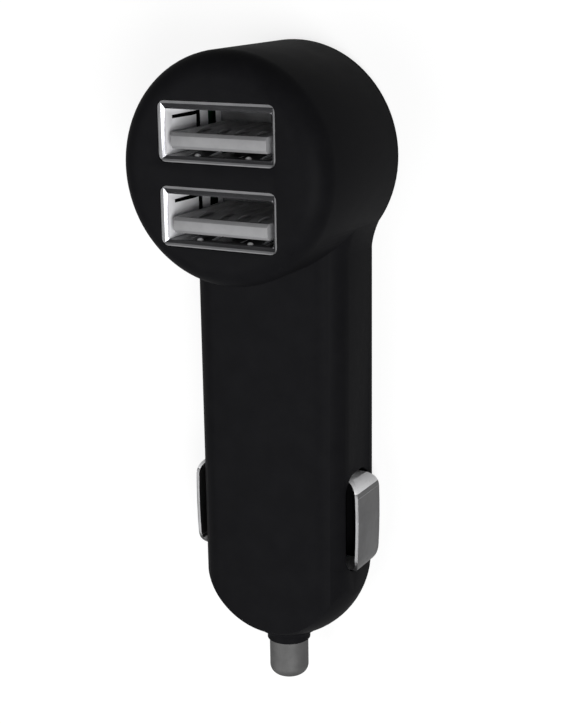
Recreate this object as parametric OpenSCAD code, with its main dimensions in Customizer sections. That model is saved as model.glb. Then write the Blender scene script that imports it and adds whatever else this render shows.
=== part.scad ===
// Twin-port car charger plug: a round head with two stacked sockets on a slim stem that
// ends in a sprung tip pin, with a sprung contact on each side of the stem.
// It lies on its flat back. X runs across, Y along the stem towards the head, Z out of the face.
// Distances along the stem are measured from the head's centre towards the tip.

/* [Head] */
// Width of the head's face outside the ports' corners
port_margin = 1.8; // [1.6:0.1:3]
// Depth of the head, from its face to the flat back
head_depth = 19.1; // [18.6:0.1:22]
// Radius of the edge round the face
face_fillet = 2.8; // [1.2:0.1:3.4]
// Radius of the edge round the flat back, on head and stem
back_fillet = 1.7; // [1.4:0.1:1.8]

/* [Stem] */
// Width of the stem
stem_w = 18.3; // [17.9:0.1:19.3]
// Depth of the stem, from its front to the flat back
stem_depth = 10.1; // [9.9:0.1:11.2]
// Radius of the stem's two front edges
stem_corner = 2.9; // [1.6:0.1:3.4]
// Radius of the hollow blend between the head and the stem's sides
blend_r = 9; // [5:0.5:12]
// Distance from the head's centre to the centre of the rounded end
dome_drop = 46.4; // [45.8:0.2:54]
// Extra radius of the rounded end over half the stem's width
dome_over = 0.6; // [0.5:0.05:1.5]

/* [Shell] */
// Thickness of the moulded walls
wall = 1.6; // [1.2:0.1:1.7]
// Thickness of the locating lip on the rear cover
lip_t = 0.9; // [0.6:0.05:1.1]
// Height of the locating lip above the seam
lip_h = 1; // [0.6:0.1:1]
// Gap between the locating lip and the housing wall
lip_gap = 0.08; // [0.05:0.01:0.15]
// Radius of the lip's inner and outer upper edges
lip_round = 0.3; // [0.1:0.05:0.4]
// Room between the lip's ends and the boss at the tip
lip_clear = 0.4; // [0.3:0.05:0.6]
// Height of the straight band between the back edge's rounding and the seam
seam_band = 0.1; // [0.1:0.05:0.3]

/* [Neck and tip pin] */
// How far the neck stands out past the rounded end
neck_reach = 1.05; // [0.8:0.05:2]
// Radius of the hollow blend at the foot of the neck
neck_blend = 0.9; // [0.5:0.1:1.4]
// Thickness of the neck's rim round the pin
neck_rim = 0.2; // [0.15:0.05:0.6]
// Diameter of the tip pin
tip_d = 4.6; // [4.2:0.1:4.8]
// Length of pin that stands out of the neck
tip_out = 4.75; // [4:0.05:6]
// Radius of the pin's rounded end
tip_round = 1.2; // [0.4:0.1:1.6]
// How far the pin can be pushed in
tip_travel = 2.6; // [1:0.1:3]
// Gap round the pin in its bore
tip_gap = 0.05; // [0.02:0.01:0.1]
// How far the pin's flange stands out from the pin
flange_proud = 0.75; // [0.5:0.05:0.9]
// Thickness of the pin's flange
flange_t = 0.8; // [0.5:0.1:1]
// Depth of the flat boss inside the rounded end
boss_h = 1.1; // [0.7:0.1:1.6]
// Width of the boss's ring round the flange
boss_rim = 0.5; // [0.3:0.1:0.8]

/* [Tip spring] */
// Outside diameter of the tip spring
spring_d = 4; // [3.6:0.1:4.4]
// Diameter of the spring's wire
spring_wire = 0.45; // [0.35:0.05:0.5]
// Number of turns
spring_turns = 5.5; // [4:0.5:6]
// Length of the studs that centre the spring
stud_h = 0.9; // [0.5:0.1:1.2]
// Gap between the studs and the inside of the coil
stud_gap = 0.15; // [0.1:0.05:0.3]
// Gap between the spring's ends and what they press on
coil_gap = 0.03; // [0.02:0.01:0.1]
// Gap between the wires of the spring's closed end turns
turn_gap = 0.03; // [0.02:0.01:0.1]

/* [Side contacts] */
// Height of the contacts' crest above the stem's sides
contact_proud = 1.4; // [1:0.05:1.8]
// Width of the contact strip
contact_w = 5.6; // [4.6:0.1:5.8]
// Thickness of the contact strip
contact_t = 0.35; // [0.25:0.05:0.4]
// Radius of the strip's corners, seen from the side
contact_corner = 2.1; // [1.5:0.1:2.5]
// Width of the strip's narrow legs inside the housing
leg_w = 2.4; // [2:0.1:3]
// Distance from the head's centre to the contact's upper end
contact_top = 35.4; // [34.8:0.1:35.8]
// Length of the contact seen from the side
contact_len = 11.3; // [10.6:0.1:11.6]
// Distance from the contact's upper end down to its crest
crest_drop = 5; // [4:0.1:6]
// Radius of the long bow of the strip
bow_r = 80; // [40:5:140]
// Outer radius of the strip's bend at its upper end
top_bend_r = 2; // [1.2:0.1:2.2]
// Outer radius of the strip's bend at its lower end
low_bend_r = 1.5; // [1.2:0.1:1.7]
// Length of the hook that holds the strip behind the housing's wall
hook_l = 1.2; // [0.8:0.1:1.6]
// Gap round the strip in its slot
slot_gap = 0.15; // [0.1:0.05:0.3]
// Room in the slot above the strip, for it to swing
swing_gap = 0.45; // [0.4:0.05:0.7]
// Gap between the hook and the wall that stops it
hook_gap = 0.1; // [0.05:0.01:0.2]
// Gap between the strip's lower leg and the wall
root_gap = 0.45; // [0.4:0.05:0.6]
// Gap between the strip's solder tab and the end of the board
tab_gap = 0.05; // [0.03:0.01:0.1]
// Length of the tab that lies along the end of the board
tab_lap = 1.4; // [1:0.1:1.6]

/* [Sockets] */
// Height of the upper socket's centre above the head's centre
port_rise = 4; // [3.7:0.1:4.3]
// Depth of the lower socket's centre below the head's centre
port_drop = 4.8; // [4.5:0.1:4.9]
// Width of a socket's steel shell
shell_w = 13.1; // [12.9:0.1:13.3]
// Height of a socket's steel shell
shell_h = 5.7; // [5.5:0.1:5.9]
// Thickness of the shell's sheet
shell_t = 0.3; // [0.25:0.05:0.35]
// How far the shell's rim flares out
rim_flare = 0.3; // [0.2:0.05:0.35]
// Depth of the flared rim
rim_depth = 0.5; // [0.3:0.1:1]
// Width of the flat edge round the shell's flared mouth
mouth_lip = 0.12; // [0.1:0.02:0.4]
// Depth of the flare inside the mouth
mouth_depth = 0.45; // [0.3:0.05:1.2]
// How far the rim lies below the face
rim_recess = 0.1; // [0:0.05:0.4]
// Radius of the shell's outer corners
shell_corner = 0.5; // [0.4:0.1:0.9]
// Width of the shell's legs
leg_strip = 1; // [0.8:0.1:1.4]
// Length of the shell's legs below the board
leg_out = 0.6; // [0.4:0.1:1]
// Distance from the shell's middle to its legs
leg_y = 1.4; // [1:0.1:1.8]
// Gap between the rim and its window
window_gap = 0.08; // [0.05:0.01:0.15]
// Gap between the tongue's sides and the shell
tongue_gap = 0.65; // [0.5:0.05:0.9]
// Thickness of the tongue
tongue_t = 1.7; // [1.5:0.1:1.9]
// How far the tongue's middle lies below the socket's middle
tongue_low = 1; // [0.7:0.05:1.1]
// Size of the slanted edges at the tongue's end
tongue_nose = 0.35; // [0.2:0.05:0.5]
// How far the tongue's end lies behind the rim
tongue_recess = 0.35; // [0.2:0.05:1.5]
// Height of the insulator's base on the board
base_h = 2; // [1.5:0.1:3]
// Gap between the insulator and the shell
base_gap = 0.08; // [0.05:0.01:0.15]

/* [Socket contacts] */
// Width of a socket contact
strip_w = 1; // [0.8:0.05:1.2]
// Thickness of a socket contact
strip_t = 0.25; // [0.2:0.05:0.3]
// Height of the bow at a contact's front
strip_bow = 0.3; // [0.2:0.05:0.6]
// Length of the bow at a contact's front
bow_l = 3.2; // [2.4:0.1:4]
// Distance of the bow's front behind the tongue's end
strip_back = 0.8; // [0.6:0.1:1.4]
// Gap between a contact and its groove
groove_gap = 0.05; // [0.03:0.01:0.1]
// Spacing of the two middle contacts
pitch_mid = 2; // [1.8:0.05:2.2]
// Spacing between a middle contact and its outer one
pitch_outer = 2.5; // [2.3:0.05:2.6]
// Length of the tails below the board
tail_out = 1; // [0.6:0.1:1.6]

/* [Spring fingers] */
// Width of a spring finger on the shell
finger_w = 2.2; // [1.6:0.1:2.6]
// Length of a spring finger
finger_l = 5.2; // [4:0.1:6]
// Distance of the finger's root behind the rim
finger_back = 1.8; // [1.4:0.1:2.4]
// How far a finger bends into the socket
finger_bend = 0.35; // [0.2:0.05:0.45]
// Place of a finger's innermost bend, as a share of its length
finger_peak = 0.62; // [0.5:0.02:0.75]
// How far a finger's end stays inside the wall
finger_end = 0.1; // [0:0.05:0.2]
// Width of the slot round a finger
finger_slot = 0.35; // [0.25:0.05:0.5]
// Distance from the middle to a finger on the wide walls
finger_x = 3; // [2.2:0.1:3.6]

/* [Circuit board] */
// Thickness of the board
board_t = 1.2; // [1:0.1:1.4]
// Height of the board above the rear cover's inner face
board_rise = 2.6; // [2.2:0.1:2.8]
// Gap between the board's edge and the housing
board_gap = 0.4; // [0.3:0.05:0.6]
// Distance from the head's centre to the board's shoulders
shoulder_drop = 33; // [32:0.1:33.2]
// Width of the board between the side contacts
waist_w = 9.6; // [9.4:0.1:10]
// Distance from the head's centre to the end of the board
board_drop = 48; // [47.9:0.05:48]
// Width of the board's end notch, for the tip spring
notch_w = 6; // [5.6:0.1:6.2]
// Depth of the board's end notch
notch_h = 2.2; // [1.8:0.1:2.4]
// Diameter of the posts that hold the board
post_d = 2.2; // [1.6:0.1:2.6]
// Distance of the first posts along the stem above the choke's middle
post_rise = 2; // [1:0.1:3]
// Distance from the middle to the rear posts beside the sockets
side_post_x = 8.3; // [8:0.1:8.6]
// Distance from the middle to the rear posts along the stem
inner_post_x = 4.8; // [4.4:0.1:5.2]
// Distance from the middle to the rear posts at the end of the board
end_post_x = 3.4; // [3.2:0.1:3.6]
// Distance from the end of the board up to its last posts
end_post_up = 4; // [3.6:0.1:5]
// Gap round pins and legs in the board
pin_gap = 0.1; // [0.05:0.01:0.15]

/* [Tip terminal] */
// Width of the tip terminal
terminal_w = 5.2; // [4.6:0.1:5.4]
// Thickness of the tip terminal
terminal_t = 0.4; // [0.3:0.05:0.5]
// Length of the terminal's foot on the board
terminal_foot = 3.2; // [2:0.1:3.4]
// Width of the terminal's foot
foot_w = 4; // [3:0.1:4.4]
// How far the terminal's plate stands out past the spring
plate_rim = 0.3; // [0.2:0.05:0.5]

/* [Board parts] */
// Diameter of the capacitor cans
can_d = 4.6; // [4:0.1:4.8]
// Length of the capacitor cans
can_l = 8; // [7:0.1:8.4]
// Distance from the middle to a can's axis
can_x = 4.6; // [4.4:0.1:4.8]
// Distance from the head's centre to the cans' upper ends
can_top = 21.4; // [21:0.1:22]
// Radius of the cans' edges
can_round = 0.4; // [0.2:0.05:0.6]
// Gap between the cans and the board
can_gap = 0.3; // [0.2:0.05:0.4]
// Diameter of the cans' leads
lead_d = 0.5; // [0.4:0.05:0.6]
// Spacing of the cans' leads
lead_pitch = 1.84; // [1.5:0.01:2]
// Length of the cans' leads
lead_l = 1.3; // [1:0.1:1.6]
// Diameter of the choke
choke_d = 6.8; // [5.6:0.1:7.2]
// Height of the choke
choke_h = 2.9; // [2.2:0.1:3]
// Diameter of the choke's core inside the winding
choke_in = 3.1; // [2.6:0.1:3.6]
// How far the winding lies inside the choke's flanges
winding_in = 0.4; // [0.2:0.05:0.8]
// Gap between the winding and the core
winding_gap = 0.05; // [0.03:0.01:0.1]
// Thickness of the choke's flanges
choke_flange = 0.7; // [0.5:0.05:0.9]
// Distance from the head's centre to the choke
choke_drop = 15.6; // [15:0.1:16]
// Length of the control chip
chip_l = 4.9; // [4.4:0.1:5.2]
// Width of the control chip's body
chip_w = 3.9; // [3.4:0.1:4.2]
// Height of the control chip
chip_h = 1.5; // [1.1:0.1:1.8]
// Spacing of the control chip's legs
chip_pitch = 1.27; // [1:0.01:1.27]
// Width of the control chip's legs
chip_leg_w = 0.4; // [0.3:0.05:0.5]
// Thickness of the control chip's legs
chip_leg_t = 0.2; // [0.15:0.01:0.25]
// How far the control chip's legs reach out
chip_leg_out = 1; // [0.8:0.1:1.2]
// Gap between the control chip's body and the board
chip_stand = 0.12; // [0.08:0.01:0.2]
// Distance from the head's centre to the control chip
chip_drop = 34.4; // [34:0.1:34.8]
// Length of the diode
diode_l = 4.2; // [3.6:0.1:4.6]
// Width of the diode
diode_w = 2.5; // [2:0.1:2.6]
// Height of the diode
diode_h = 2; // [1.6:0.1:2.2]
// Distance from the head's centre to the diode
diode_drop = 39.4; // [39.2:0.1:39.6]
// Distance from the head's centre to the input fuse
fuse_drop = 39; // [38.6:0.1:39.4]
// Distance from the middle to the diode and the fuse
end_part_x = 2.4; // [2.2:0.05:2.5]
// Distance from the cans' lower ends to the small capacitors
small_cap_gap = 1.2; // [1:0.1:1.4]
// Distance from the middle to the small capacitors
small_cap_x = 1.3; // [1:0.1:1.5]
// Distance from the cans' upper ends to the first resistor
resistor_gap = 2; // [1:0.1:3]
// Spacing of the two resistors
resistor_pitch = 3.5; // [2.4:0.1:4.5]
// Length of the end caps on the diode and the fuse
big_cap = 0.5; // [0.3:0.05:0.6]
// Length of the end caps on the small capacitors and resistors
small_cap = 0.35; // [0.2:0.05:0.4]
// How far the end caps stand out
cap_proud = 0.03; // [0.02:0.01:0.05]

/* [Hidden] */

// Smoothness of round parts
$fn = 96;
// A small overlap for clean cuts, and how far joined pieces of one solid run into each other
eps = 0.01;
fuse = 0.4;
// The head's radius leaves the margin round the ports' outer corners
port_reach = max(port_rise, port_drop) + shell_h / 2 + rim_flare;
head_r = sqrt(pow(shell_w / 2 + rim_flare, 2) + port_reach * port_reach) + port_margin;
// The housing meets the rear cover just above the back edge's rounding
seam_h = back_fillet + seam_band;
axis_z = stem_depth / 2;
dome_r = stem_w / 2 + dome_over;
dome_end = dome_drop + dome_r;
neck_end = dome_end + neck_reach;
tip_end = neck_end + tip_out;
// The origin is under the middle of the whole length
head_y = (tip_end - head_r) / 2;

// Centre of the hollow blend, from the head's centre
blend_x = stem_w / 2 + blend_r;
blend_drop = sqrt((head_r + blend_r) * (head_r + blend_r) - blend_x * blend_x);
// Angle that the blend turns through, and how far its solid reaches into head and stem
blend_turn = atan(blend_drop / blend_x);
blend_in = 4;
// The blend is cut back and lowered this little, so that it crosses head and stem
blend_step = 0.05;

// Board levels
board_z = wall + board_rise;
board_top = board_z + board_t;
board_in = wall + board_gap;

// A contact's straight run reaches this far into its bow
strip_lap = 0.2;

// Socket levels
rim_z = head_depth - rim_recess;
tongue_end = rim_z - tongue_recess;
base_top = board_top + base_h;
tongue_face = tongue_t / 2 - tongue_low;
tongue_w = shell_w - 2 * shell_t - 2 * tongue_gap;
port_y = [port_rise, -port_drop];
strip_x = [-pitch_mid / 2 - pitch_outer, -pitch_mid / 2, pitch_mid / 2, pitch_mid / 2 + pitch_outer];

// Tip pin levels, from the head's centre
tip_r = tip_d / 2;
bore_r = tip_r + tip_gap;
boss_face = dome_drop + dome_r - wall - boss_h;
flange_back = boss_face - flange_t;
terminal_face = board_drop - notch_h + terminal_t;
spring_len = flange_back - terminal_face;
stud_r = spring_d / 2 - spring_wire - stud_gap;
flange_r = tip_r + flange_proud;

// Posts: distances and places of those under the front wall and on the rear cover
waist_post = shoulder_drop - post_d / 2;
upper_posts = [choke_drop - post_rise, waist_post];
upper_post_x = stem_w / 2 - wall - board_gap - post_d / 2;
lower_posts = [[side_post_x, 0], [inner_post_x, choke_drop - post_rise], [inner_post_x, waist_post],
    [end_post_x, board_drop - end_post_up]];
// Half the width that the lip leaves free for the boss at the tip
lip_cut = flange_r + boss_rim + lip_clear;

// Places of the small parts, from the head's centre
small_cap_drop = can_top + can_l + small_cap_gap;
resistor_drop = can_top + resistor_gap;

// Side contact levels
crest_x = stem_w / 2 + contact_proud;
crest_at = contact_top + crest_drop;
contact_end = contact_top + contact_len;
top_bend_at = contact_top + top_bend_r;
low_bend_at = contact_end - low_bend_r;
inner_x = stem_w / 2 - wall;
// The end bends start this little below the bow's outer face
bend_step = 0.02;
hook_x = inner_x - hook_gap;
root_x = inner_x - root_gap;
tab_at = board_drop + tab_gap;
tab_x = waist_w / 2 - tab_lap;

// Distance of the bowed strip's outer face from the middle, at a distance along the stem
function bow_x(at) = crest_x - bow_r + sqrt(bow_r * bow_r - (at - crest_at) * (at - crest_at));

// Places a child at a distance from the head's centre, with its own Y along the stem
module at_drop(drop, x = 0, z = 0) {
    translate([x, head_y - drop, z]) children();
}

// Turns a child so that its Z runs down the stem on the plug's axis, from a distance
module down_stem(drop) {
    translate([0, head_y - drop, axis_z]) rotate([90, 0, 0]) children();
}

// Quarter of a disc, from X to Y
module quarter(r) {
    intersection() {
        circle(r);
        square(r);
    }
}

// Half section of a disc, its upper edge rounded, for turning
module edge_profile(r, h, f) {
    square([r, h - f]);
    square([r - f, h]);
    translate([r - f, h - f]) quarter(f);
}

// Rounded rectangle, centred
module round_rect(w, h, r) {
    square([w - 2 * r, h], center = true);
    square([w, h - 2 * r], center = true);
    for (sx = [-1, 1], sy = [-1, 1])
        translate([sx * (w / 2 - r), sy * (h / 2 - r)]) circle(r);
}

// Keyhole block standing on z = 0, its sides moved in by inset: round head, stem and hollow
// blends, with rounded upper edges. The stem's end is cut to a ball centred at dome_z.
module keyhole(inset, head_h, head_f, stem_h, stem_f, dome_z) {
    half_w = stem_w / 2 - inset;
    at_drop(0) rotate_extrude() edge_profile(head_r - inset, head_h, head_f);
    intersection() {
        at_drop(0) rotate([90, 0, 0]) linear_extrude(dome_end)
            for (s = [0, 1]) mirror([s, 0]) edge_profile(half_w, stem_h, stem_f);
        union() {
            at_drop(dome_drop, -stem_w, -stem_depth)
                cube([2 * stem_w, dome_drop + head_r, 3 * stem_depth]);
            at_drop(dome_drop, 0, dome_z) rotate([90, 0, 0]) sphere(dome_r - inset);
        }
    }
    for (s = [0, 1]) mirror([s, 0, 0]) blend(blend_r + inset + blend_step, stem_h - blend_step, stem_f);
}

// Hollow blend between the head and the right side of the stem
module blend(r, h, f) {
    at_drop(blend_drop, blend_x) rotate(180 - blend_turn) rotate_extrude(angle = blend_turn) {
        translate([r, 0]) square([blend_in, h - f]);
        translate([r + f, 0]) square([blend_in - f, h]);
        translate([r + f, h - f]) mirror([1, 0]) quarter(f);
    }
}

// The plug's outside above a level, its sides moved in by inset
module outside(inset, level) {
    translate([0, 0, level])
        keyhole(inset, head_depth - inset - level, face_fillet - inset / 2,
            stem_depth - inset - level, stem_corner - inset / 2, axis_z - level);
}

// The plug's back below the seam
module back_half() {
    translate([0, 0, seam_h]) mirror([0, 0, 1])
        keyhole(0, seam_h, back_fillet, seam_h, back_fillet, seam_h - axis_z);
}

// Neck round the tip pin, with a hollow blend at its foot
module neck() {
    rim_r = bore_r + neck_rim;
    foot = sqrt(dome_r * dome_r - rim_r * rim_r) - neck_blend;
    down_stem(dome_drop) rotate_extrude() difference() {
        union() {
            square([rim_r, dome_r + neck_reach]);
            translate([0, foot]) square([rim_r + neck_blend, neck_blend * 2]);
        }
        translate([rim_r + neck_blend, foot + neck_blend * 2]) circle(neck_blend);
    }
}

// Opening for one side contact, through the right wall
module contact_slot() {
    up = contact_top - swing_gap;
    down = contact_end + slot_gap;
    r = contact_corner + slot_gap;
    translate([inner_x - wall / 2, head_y - (up + down) / 2, axis_z]) rotate([90, 0, 90])
        linear_extrude(3 * wall) round_rect(down - up, contact_w + 2 * slot_gap, r);
}

// Window for a socket's rim, through the face
module socket_window(y) {
    grow = rim_flare + window_gap;
    at_drop(-y, 0, head_depth - 2 * wall) linear_extrude(3 * wall)
        round_rect(shell_w + 2 * grow, shell_h + 2 * grow, shell_corner + grow);
}

// Boss inside the rounded end that the pin's flange rests on, above the seam
module boss() {
    intersection() {
        down_stem(boss_face) cylinder(r = flange_r + boss_rim, h = boss_h + boss_rim);
        at_drop(dome_end, -stem_w, seam_h) cube([2 * stem_w, dome_end, stem_depth]);
    }
}

// Post that holds the board between two levels
module post(drop, x, z0, z1) {
    at_drop(drop, x, z0) cylinder(d = post_d, h = z1 - z0);
}

module housing() {
    color([0.1, 0.1, 0.11]) difference() {
        union() {
            difference() {
                union() {
                    outside(0, seam_h);
                    neck();
                }
                outside(wall, seam_h - 1);
            }
            boss();
            for (sx = [-1, 1], drop = upper_posts)
                post(drop, sx * upper_post_x, board_top, stem_depth - wall / 2);
        }
        down_stem(boss_face - eps) cylinder(r = bore_r, h = tip_end);
        for (y = port_y) socket_window(y);
        for (s = [0, 1]) mirror([s, 0, 0]) contact_slot();
    }
}

module rear_cover() {
    lip_in = wall + lip_gap;
    lip_top = seam_h + lip_h;
    color([0.1, 0.1, 0.11]) {
        difference() {
            union() {
                back_half();
                translate([0, 0, wall / 2])
                    keyhole(lip_in, lip_top - wall / 2, lip_round, lip_top - wall / 2, lip_round,
                        axis_z - wall / 2);
            }
            translate([0, 0, wall])
                keyhole(lip_in + lip_t, lip_top, lip_round, lip_top, lip_round, axis_z - wall);
            at_drop(dome_end, -lip_cut, wall) cube([2 * lip_cut, dome_end - board_drop, lip_top]);
        }
        for (sx = [-1, 1], p = lower_posts) post(p[1], sx * p[0], wall / 2, board_z);
    }
}

// Outline of the circuit board, from above
module board_outline() {
    edge_x = inner_x - board_gap;
    can_edge = can_x - can_d / 2 - can_gap;
    difference() {
        union() {
            circle(head_r - wall - board_gap);
            translate([-edge_x, -shoulder_drop]) square([2 * edge_x, shoulder_drop]);
            translate([-waist_w / 2, -board_drop]) square([waist_w, board_drop]);
        }
        translate([-notch_w / 2, -board_drop - 1]) square([notch_w, notch_h + 1]);
        for (s = [0, 1]) mirror([s, 0])
            translate([can_edge, -can_top - can_l - can_gap])
                square([edge_x, can_l + 2 * can_gap]);
    }
}

module circuit_board() {
    leg = leg_strip + 2 * pin_gap;
    color([0.09, 0.33, 0.2]) at_drop(0, 0, board_z) difference() {
        linear_extrude(board_t) board_outline();
        for (y = port_y) {
            for (x = strip_x) translate([x, y + tongue_face - strip_t / 2, 0])
                cube([strip_w + 2 * pin_gap, strip_t + 2 * pin_gap, 3 * board_t], center = true);
            for (sx = [-1, 1], sy = [-1, 1])
                translate([sx * (shell_w - shell_t) / 2, y + sy * leg_y, 0])
                    cube([shell_t + 2 * pin_gap, leg, 3 * board_t], center = true);
        }
    }
}

// Finger bent out of a shell's wall, its root at the origin: X across, Y inwards, -Z into the socket
module finger() {
    mid = finger_peak * finger_l;
    rotate([90, 0, 90]) translate([0, 0, -finger_w / 2]) linear_extrude(finger_w)
        polygon([[0, shell_t], [0, 0], [finger_bend, -mid], [finger_end, -finger_l],
            [finger_end + shell_t, -finger_l], [finger_bend + shell_t, -mid], [shell_t, 0], [shell_t, shell_t]]);
}

// Places of the fingers round a shell: two on each wide wall and one on each narrow wall
module at_fingers() {
    z = rim_z - finger_back;
    for (s = [0, 1], x = [-finger_x, finger_x])
        mirror([0, s, 0]) translate([x, -shell_h / 2, z]) children();
    for (s = [0, 1])
        mirror([s, 0, 0]) translate([shell_w / 2, 0, z]) rotate(90) children();
}

// Section of the flared mouth across one side, w wide inside the shell
module mouth_section(w) {
    out = w / 2 + shell_t + rim_flare - mouth_lip;
    polygon([[-w / 2, rim_z - mouth_depth], [w / 2, rim_z - mouth_depth], [out, rim_z],
        [out, rim_z + 1], [-out, rim_z + 1], [-out, rim_z]]);
}

// Flared mouth of a shell
module mouth() {
    intersection() {
        rotate([90, 0, 0]) linear_extrude(shell_w, center = true) mouth_section(shell_w - 2 * shell_t);
        rotate([90, 0, 90]) linear_extrude(2 * shell_w, center = true) mouth_section(shell_h - 2 * shell_t);
    }
}

module socket_shell(y) {
    in_w = shell_w - 2 * shell_t;
    in_h = shell_h - 2 * shell_t;
    color([0.72, 0.72, 0.74]) at_drop(-y) {
        difference() {
            union() {
                translate([0, 0, board_top]) linear_extrude(rim_z - board_top)
                    round_rect(shell_w, shell_h, shell_corner);
                translate([0, 0, rim_z - rim_depth]) linear_extrude(rim_depth)
                    round_rect(shell_w + 2 * rim_flare, shell_h + 2 * rim_flare, shell_corner + rim_flare);
            }
            translate([0, 0, board_top - 1]) linear_extrude(rim_z)
                round_rect(in_w, in_h, shell_corner - shell_t);
            mouth();
            at_fingers() translate([-finger_w / 2 - finger_slot, -1, -finger_l - finger_slot])
                cube([finger_w + 2 * finger_slot, 2, finger_l + finger_slot]);
        }
        at_fingers() finger();
        for (sx = [-1, 1], sy = [-1, 1])
            translate([(sx * (shell_w - shell_t) - shell_t) / 2, sy * leg_y - leg_strip / 2, board_z - leg_out])
                cube([shell_t, leg_strip, leg_out + board_t + fuse]);
    }
}

module socket_tongue(y) {
    in_w = shell_w - 2 * (shell_t + base_gap);
    in_h = shell_h - 2 * (shell_t + base_gap);
    nose = tongue_nose;
    low = -tongue_low - tongue_t / 2;
    color([0.62, 0.62, 0.64]) at_drop(-y) difference() {
        union() {
            translate([0, 0, board_top]) linear_extrude(base_h)
                round_rect(in_w, in_h, shell_corner - shell_t);
            rotate([90, 0, 90]) translate([0, 0, -tongue_w / 2]) linear_extrude(tongue_w)
                polygon([[low, base_top - 1], [low, tongue_end - nose], [low + nose, tongue_end],
                    [tongue_face - nose, tongue_end], [tongue_face, tongue_end - nose],
                    [tongue_face, base_top - 1]]);
        }
        for (x = strip_x)
            translate([x - strip_w / 2 - groove_gap, tongue_face - strip_t, board_top - 1])
                cube([strip_w + 2 * groove_gap, strip_t + groove_gap, base_h + 1 + eps]);
        for (x = strip_x)
            translate([x - strip_w / 2 - groove_gap, tongue_face - strip_t, base_top])
                cube([strip_w + 2 * groove_gap, 2 * strip_t, tongue_end - strip_back - base_top]);
    }
}

// One socket contact: a tail through the board, a straight run in its groove and a bowed front
module socket_contact(y, x) {
    bow_top = tongue_end - strip_back - groove_gap;
    tail_end = board_z - tail_out;
    r = (bow_l * bow_l / 4 + strip_bow * strip_bow) / (2 * strip_bow);
    color([0.8, 0.66, 0.36]) at_drop(-y, x) rotate([90, 0, 90])
        translate([0, 0, -strip_w / 2]) linear_extrude(strip_w) {
            translate([tongue_face - strip_t, tail_end])
                square([strip_t, bow_top - bow_l + strip_lap - tail_end]);
            intersection() {
                translate([tongue_face + strip_bow - r, bow_top - bow_l / 2]) difference() {
                    circle(r);
                    circle(r - strip_t);
                }
                translate([tongue_face - strip_t, bow_top - bow_l]) square([strip_bow + strip_t, bow_l]);
            }
        }
}

module tip_pin() {
    color([0.6, 0.6, 0.61]) {
        down_stem(boss_face) rotate_extrude() edge_profile(tip_r, tip_end - boss_face, tip_round);
        down_stem(flange_back) cylinder(r = flange_r, h = flange_t);
        down_stem(flange_back - stud_h) cylinder(r = stud_r, h = stud_h + eps);
    }
}

module tip_terminal() {
    foot_at = board_drop - notch_h;
    plate_h = spring_d + 2 * plate_rim;
    color([0.78, 0.72, 0.55]) {
        at_drop(foot_at, -foot_w / 2, board_top) cube([foot_w, terminal_foot, terminal_t]);
        at_drop(terminal_face, -terminal_w / 2, axis_z - plate_h / 2)
            cube([terminal_w, terminal_t, plate_h]);
        down_stem(terminal_face - eps) cylinder(r = stud_r, h = stud_h);
    }
}

// Distance along the coil's axis at turn t: close turns at both ends, open ones between
function coil_at(t) =
    let (closed = 0.75, pitch = spring_wire + turn_gap,
        open = (spring_len - 2 * coil_gap - spring_wire - 2 * closed * pitch) / (spring_turns - 2 * closed))
    min(t, closed) * pitch + max(0, min(t, spring_turns - closed) - closed) * open
        + max(0, t - spring_turns + closed) * pitch;

module tip_spring() {
    sides = 8;
    steps = 20;
    rings = spring_turns * steps;
    mid_r = (spring_d - spring_wire) / 2;
    wire_r = spring_wire / 2;
    points = [for (i = [0:rings], j = [0:sides - 1])
        let (a = i * 360 / steps, b = j * 360 / sides, r = mid_r + wire_r * cos(b))
        [r * cos(a), r * sin(a), coil_at(i / steps) + wire_r * sin(b)]];
    skin = [for (i = [0:rings - 1], j = [0:sides - 1])
        let (k = (j + 1) % sides)
        [i * sides + j, i * sides + k, (i + 1) * sides + k, (i + 1) * sides + j]];
    first = [for (j = [0:sides - 1]) sides - 1 - j];
    last = [for (j = [0:sides - 1]) rings * sides + j];
    color([0.7, 0.7, 0.72]) down_stem(terminal_face + coil_gap + wire_r)
        polyhedron(points, concat([first], skin, [last]));
}

// Edge-on outline of the right contact: X out from the middle, Y towards the head
module contact_outline() {
    top_x = bow_x(top_bend_at) - top_bend_r - bend_step;
    low_x = bow_x(low_bend_at) - low_bend_r - bend_step;
    intersection() {
        translate([crest_x - bow_r, -crest_at]) ring(bow_r, 720);
        translate([top_x, -low_bend_at]) square([bow_r, low_bend_at - top_bend_at]);
    }
    translate([top_x, -top_bend_at]) quarter_ring(top_bend_r);
    translate([low_x, -low_bend_at]) mirror([0, 1]) quarter_ring(low_bend_r);
    strip_run(hook_x - contact_t, top_x + eps, contact_top, contact_top + contact_t);
    strip_run(hook_x - contact_t, hook_x, contact_top - hook_l, contact_top + contact_t);
    strip_run(root_x - contact_t, low_x + eps, contact_end - contact_t, contact_end);
    strip_run(root_x - contact_t, root_x, contact_end - contact_t, tab_at + contact_t);
    strip_run(tab_x, root_x, tab_at, tab_at + contact_t);
}

// Straight run of the strip, between two distances from the middle and two along the stem
module strip_run(x0, x1, from, to) {
    translate([x0, -to]) square([x1 - x0, to - from]);
}

// Ring as thick as the strip
module ring(r, sides = $fn) {
    difference() {
        circle(r, $fn = sides);
        circle(r - contact_t, $fn = sides);
    }
}

// Quarter of such a ring, from X to Y
module quarter_ring(r) {
    intersection() {
        ring(r);
        square(r);
    }
}

module right_side_contact() {
    color([0.62, 0.62, 0.63]) intersection() {
        at_drop(0, 0, axis_z - contact_w / 2) linear_extrude(contact_w) contact_outline();
        union() {
            translate([0, head_y - contact_top - contact_len / 2, axis_z]) rotate([90, 0, 90])
                linear_extrude(stem_w) round_rect(contact_len, contact_w, contact_corner);
            at_drop(2 * contact_end, 0, axis_z - leg_w / 2) cube([stem_w, 2 * contact_end, leg_w]);
        }
    }
}

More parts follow.
